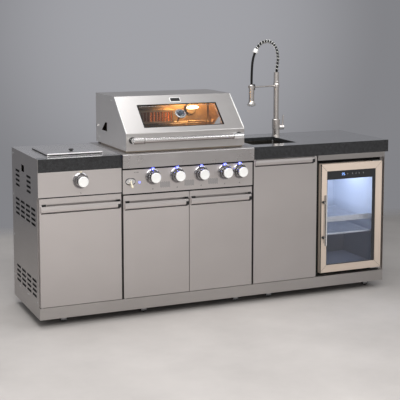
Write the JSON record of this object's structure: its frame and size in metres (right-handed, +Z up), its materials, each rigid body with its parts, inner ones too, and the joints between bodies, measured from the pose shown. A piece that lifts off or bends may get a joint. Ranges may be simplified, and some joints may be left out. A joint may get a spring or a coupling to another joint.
{
  "type": "outdoor kitchen island",
  "caption": "Modular stainless outdoor kitchen with side burner, hooded gas grill, stone tops, sink with spring tap and glass door fridge, on casters.",
  "frame": {"origin": "centre of the bounding box's base, on the floor under the casters", "axes": "+X along the counter towards the fridge, +Y from the door fronts to the back, +Z up"},
  "size_m": [2.21, 0.642, 1.5456],
  "materials": {
    "steel_cabinet": "brushed",
    "steel_front": "brushed",
    "steel_hood": "brushed",
    "steel_top": "brushed",
    "granite": "polished",
    "bezel_chrome": "polished",
    "knob_chrome": "satin",
    "handle_steel": "satin",
    "gauge_chrome": "polished",
    "window_glass": "clear",
    "door_glass": "clear",
    "burner_steel": "heat tinted",
    "grate_iron": "matt",
    "heater_steel": "satin",
    "sink_steel": "satin",
    "tap_chrome": "polished",
    "hose_grey": "satin",
    "fridge_white": "satin",
    "shelf_wire": "polished",
    "fridge_frame": "brushed",
    "pin_steel": "satin",
    "switch_cream": "gloss",
    "fork_zinc": "satin",
    "wheel_black": "matt"
  },
  "bodies": {
    "island": {"left_cabinet": "steel_cabinet", "control_panels": "steel_front", "granite_tops": "granite", "side_burner_tray": "steel_top", "side_burner": "grate_iron", "grill_cabinet": "steel_cabinet", "control_bezels": "bezel_chrome", "firebox": "steel_top", "gas_train": "burner_steel", "cooking_grates": "grate_iron", "rear_burner": "heater_steel", "sink_cabinet": "steel_cabinet", "sink_bowl": "sink_steel", "fridge_case": "fridge_white", "fridge_shelves": "shelf_wire", "hinge_pins": "pin_steel", "tap_base": "tap_chrome"},
    "hood": {"hood_shell": "steel_hood", "hood_window": "window_glass", "hood_thermometer": "gauge_chrome", "hood_handle": "handle_steel"},
    "burner_lid": {"side_burner_lid": "steel_top"},
    "door_left": {"left_door": "steel_front"},
    "door_grill_left": {"grill_door_left": "steel_front"},
    "door_grill_right": {"grill_door_right": "steel_front"},
    "door_sink": {"sink_door": "steel_front"},
    "door_fridge": {"fridge_door": "fridge_frame", "fridge_door_glass": "door_glass"},
    "switch": {"light_switch": "switch_cream"},
    "tap_spout": {"tap_column": "tap_chrome", "tap_hose": "hose_grey", "tap_spring": "tap_chrome"},
    "tap_handle": {"tap_lever": "tap_chrome"},
    "tap_spray": {"spray_head": "tap_chrome"},
    "control_1": {"knob_1": "knob_chrome"},
    "control_2": {"knob_2": "knob_chrome"},
    "control_3": {"knob_3": "knob_chrome"},
    "control_4": {"knob_4": "knob_chrome"},
    "control_5": {"knob_5": "knob_chrome"},
    "control_6": {"knob_6": "knob_chrome"},
    "swivel_1": {"caster_fork_1": "fork_zinc"},
    "wheel_1": {"caster_wheel_1": "wheel_black"},
    "swivel_2": {"caster_fork_2": "fork_zinc"},
    "wheel_2": {"caster_wheel_2": "wheel_black"},
    "swivel_3": {"caster_fork_3": "fork_zinc"},
    "wheel_3": {"caster_wheel_3": "wheel_black"},
    "swivel_4": {"caster_fork_4": "fork_zinc"},
    "wheel_4": {"caster_wheel_4": "wheel_black"},
    "swivel_5": {"caster_fork_5": "fork_zinc"},
    "wheel_5": {"caster_wheel_5": "wheel_black"},
    "swivel_6": {"caster_fork_6": "fork_zinc"},
    "wheel_6": {"caster_wheel_6": "wheel_black"},
    "swivel_7": {"caster_fork_7": "fork_zinc"},
    "wheel_7": {"caster_wheel_7": "wheel_black"},
    "swivel_8": {"caster_fork_8": "fork_zinc"},
    "wheel_8": {"caster_wheel_8": "wheel_black"},
    "swivel_9": {"caster_fork_9": "fork_zinc"},
    "wheel_9": {"caster_wheel_9": "wheel_black"},
    "swivel_10": {"caster_fork_10": "fork_zinc"},
    "wheel_10": {"caster_wheel_10": "wheel_black"}
  },
  "joints": [
    {"name": "hood_hinge", "type": "hinge", "parent": "island", "child": "hood", "pos_m": [-0.2275, 0.281, 1.038], "axis": [-1, 0, 0], "range_deg": [0, 85]},
    {"name": "lid_hinge", "type": "hinge", "parent": "island", "child": "burner_lid", "pos_m": [-0.8675, 0.169, 0.937], "axis": [-1, 0, 0], "range_deg": [0, 95]},
    {"name": "left_door_hinge", "type": "hinge", "parent": "island", "child": "door_left", "pos_m": [-1.089, -0.258, 0.4], "axis": [0, 0, -1], "range_deg": [0, 110]},
    {"name": "grill_door_left_hinge", "type": "hinge", "parent": "island", "child": "door_grill_left", "pos_m": [-0.614, -0.258, 0.4], "axis": [0, 0, -1], "range_deg": [0, 90]},
    {"name": "grill_door_right_hinge", "type": "hinge", "parent": "island", "child": "door_grill_right", "pos_m": [0.159, -0.258, 0.4], "axis": [0, 0, 1], "range_deg": [0, 90]},
    {"name": "sink_door_hinge", "type": "hinge", "parent": "island", "child": "door_sink", "pos_m": [0.592, -0.258, 0.4], "axis": [0, 0, 1], "range_deg": [0, 90]},
    {"name": "fridge_door_hinge", "type": "hinge", "parent": "island", "child": "door_fridge", "pos_m": [1.055, -0.252, 0.4], "axis": [0, 0, 1], "range_deg": [0, 110]},
    {"name": "switch_hinge", "type": "hinge", "parent": "island", "child": "switch", "pos_m": [-0.581, -0.273, 0.778], "axis": [-1, 0, 0], "range_deg": [0, 35]},
    {"name": "tap_swivel", "type": "hinge", "parent": "island", "child": "tap_spout", "pos_m": [0.56, 0.186, 1.038], "axis": [0, 0, 1], "range_deg": [-120, 120]},
    {"name": "tap_lever_hinge", "type": "hinge", "parent": "island", "child": "tap_handle", "pos_m": [0.56, 0.186, 0.986], "axis": [1, 0, 0], "range_deg": [-45, 45]},
    {"name": "spray_pull", "type": "slide", "parent": "tap_spout", "child": "tap_spray", "axis": [0, 0, -1], "range_m": [0, 0.12], "deforming": ["tap_hose"]},
    {"name": "knob_turn_1", "type": "hinge", "parent": "island", "child": "control_1", "pos_m": [-0.8675, -0.264, 0.803], "axis": [0, -1, 0], "range_deg": [0, 200]},
    {"name": "knob_turn_2", "type": "hinge", "parent": "island", "child": "control_2", "pos_m": [-0.44875, -0.264, 0.798], "axis": [0, -1, 0], "range_deg": [0, 200]},
    {"name": "knob_turn_3", "type": "hinge", "parent": "island", "child": "control_3", "pos_m": [-0.30125, -0.264, 0.798], "axis": [0, -1, 0], "range_deg": [0, 200]},
    {"name": "knob_turn_4", "type": "hinge", "parent": "island", "child": "control_4", "pos_m": [-0.15375, -0.264, 0.798], "axis": [0, -1, 0], "range_deg": [0, 200]},
    {"name": "knob_turn_5", "type": "hinge", "parent": "island", "child": "control_5", "pos_m": [-0.00625, -0.264, 0.798], "axis": [0, -1, 0], "range_deg": [0, 200]},
    {"name": "knob_turn_6", "type": "hinge", "parent": "island", "child": "control_6", "pos_m": [0.0885, -0.264, 0.798], "axis": [0, -1, 0], "range_deg": [0, 200]},
    {"name": "caster_swivel_1", "type": "hinge", "parent": "island", "child": "swivel_1", "pos_m": [-0.97, -0.159, 0.06], "axis": [0, 0, 1], "continuous": true},
    {"name": "caster_roll_1", "type": "hinge", "parent": "swivel_1", "child": "wheel_1", "pos_m": [-0.946, -0.159, 0.025], "axis": [0, 1, 0], "continuous": true},
    {"name": "caster_swivel_2", "type": "hinge", "parent": "island", "child": "swivel_2", "pos_m": [-0.97, 0.216, 0.06], "axis": [0, 0, 1], "continuous": true},
    {"name": "caster_roll_2", "type": "hinge", "parent": "swivel_2", "child": "wheel_2", "pos_m": [-0.946, 0.216, 0.025], "axis": [0, 1, 0], "continuous": true},
    {"name": "caster_swivel_3", "type": "hinge", "parent": "island", "child": "swivel_3", "pos_m": [-0.495, -0.159, 0.06], "axis": [0, 0, 1], "continuous": true},
    {"name": "caster_roll_3", "type": "hinge", "parent": "swivel_3", "child": "wheel_3", "pos_m": [-0.471, -0.159, 0.025], "axis": [0, 1, 0], "continuous": true},
    {"name": "caster_swivel_4", "type": "hinge", "parent": "island", "child": "swivel_4", "pos_m": [0.089, -0.159, 0.06], "axis": [0, 0, 1], "continuous": true},
    {"name": "caster_roll_4", "type": "hinge", "parent": "swivel_4", "child": "wheel_4", "pos_m": [0.113, -0.159, 0.025], "axis": [0, 1, 0], "continuous": true},
    {"name": "caster_swivel_5", "type": "hinge", "parent": "island", "child": "swivel_5", "pos_m": [-0.495, 0.216, 0.06], "axis": [0, 0, 1], "continuous": true},
    {"name": "caster_roll_5", "type": "hinge", "parent": "swivel_5", "child": "wheel_5", "pos_m": [-0.471, 0.216, 0.025], "axis": [0, 1, 0], "continuous": true},
    {"name": "caster_swivel_6", "type": "hinge", "parent": "island", "child": "swivel_6", "pos_m": [0.089, 0.216, 0.06], "axis": [0, 0, 1], "continuous": true},
    {"name": "caster_roll_6", "type": "hinge", "parent": "swivel_6", "child": "wheel_6", "pos_m": [0.113, 0.216, 0.025], "axis": [0, 1, 0], "continuous": true},
    {"name": "caster_swivel_7", "type": "hinge", "parent": "island", "child": "swivel_7", "pos_m": [0.31, -0.159, 0.06], "axis": [0, 0, 1], "continuous": true},
    {"name": "caster_roll_7", "type": "hinge", "parent": "swivel_7", "child": "wheel_7", "pos_m": [0.334, -0.159, 0.025], "axis": [0, 1, 0], "continuous": true},
    {"name": "caster_swivel_8", "type": "hinge", "parent": "island", "child": "swivel_8", "pos_m": [0.994, -0.159, 0.06], "axis": [0, 0, 1], "continuous": true},
    {"name": "caster_roll_8", "type": "hinge", "parent": "swivel_8", "child": "wheel_8", "pos_m": [1.018, -0.159, 0.025], "axis": [0, 1, 0], "continuous": true},
    {"name": "caster_swivel_9", "type": "hinge", "parent": "island", "child": "swivel_9", "pos_m": [0.31, 0.216, 0.06], "axis": [0, 0, 1], "continuous": true},
    {"name": "caster_roll_9", "type": "hinge", "parent": "swivel_9", "child": "wheel_9", "pos_m": [0.334, 0.216, 0.025], "axis": [0, 1, 0], "continuous": true},
    {"name": "caster_swivel_10", "type": "hinge", "parent": "island", "child": "swivel_10", "pos_m": [0.994, 0.216, 0.06], "axis": [0, 0, 1], "continuous": true},
    {"name": "caster_roll_10", "type": "hinge", "parent": "swivel_10", "child": "wheel_10", "pos_m": [1.018, 0.216, 0.025], "axis": [0, 1, 0], "continuous": true}
  ]
}
